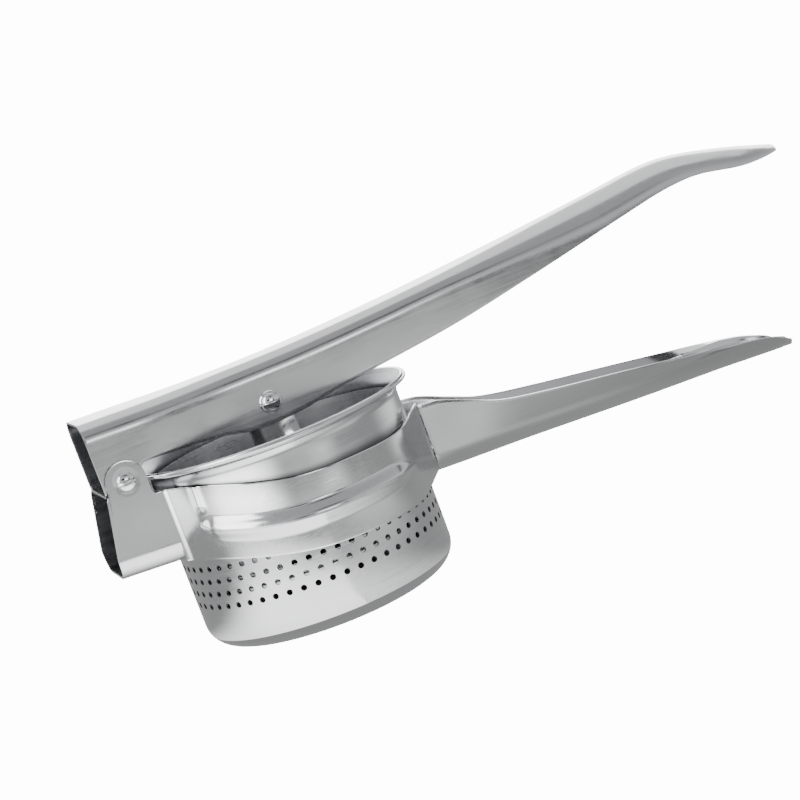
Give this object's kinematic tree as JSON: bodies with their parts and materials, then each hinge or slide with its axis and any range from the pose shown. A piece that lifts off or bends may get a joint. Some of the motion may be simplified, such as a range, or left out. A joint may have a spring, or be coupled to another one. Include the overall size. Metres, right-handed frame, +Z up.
{
  "type": "potato ricer",
  "caption": "Hand-squeezed potato ricer: perforated round basket in a ring frame, two channel handles on a riveted hinge, and a press plate hung from the upper handle.",
  "frame": {"origin": "centre of the basket's flat bottom, on its outer face", "axes": "+Z up along the basket's axis, +X towards the ends of the handles, +Y to the left of someone holding them"},
  "size_m": [0.2772, 0.0996, 0.1009],
  "materials": {
    "satin_steel": "satin-polished stainless sheet",
    "polished_steel": "polished stainless",
    "plain_steel": "plain rolled stainless sheet and tube"
  },
  "bodies": {
    "frame": {"basket": "satin_steel", "ring_frame": "satin_steel", "lower_handle": "satin_steel", "hinge_rivet": "polished_steel"},
    "handle": {"upper_handle": "satin_steel", "press_rivet": "polished_steel", "press_washer_near": "polished_steel", "press_washer_far": "polished_steel", "press_spacer": "plain_steel"},
    "press": {"press_bracket": "plain_steel", "press_plate": "plain_steel"}
  },
  "joints": [
    {"name": "handle_hinge", "type": "hinge", "parent": "frame", "child": "handle", "pos_m": [-0.0552, 0, 0.0687], "axis": [0, -1, 0], "range_deg": [0, 85]},
    {"name": "press_pivot", "type": "hinge", "parent": "handle", "child": "press", "pos_m": [0.0007, 0, 0.0744], "axis": [0, -1, 0], "range_deg": [-40, 5]}
  ],
  "couplings": [
    {"joint": "press_pivot", "follows": "handle_hinge", "ratio": -0.4}
  ]
}
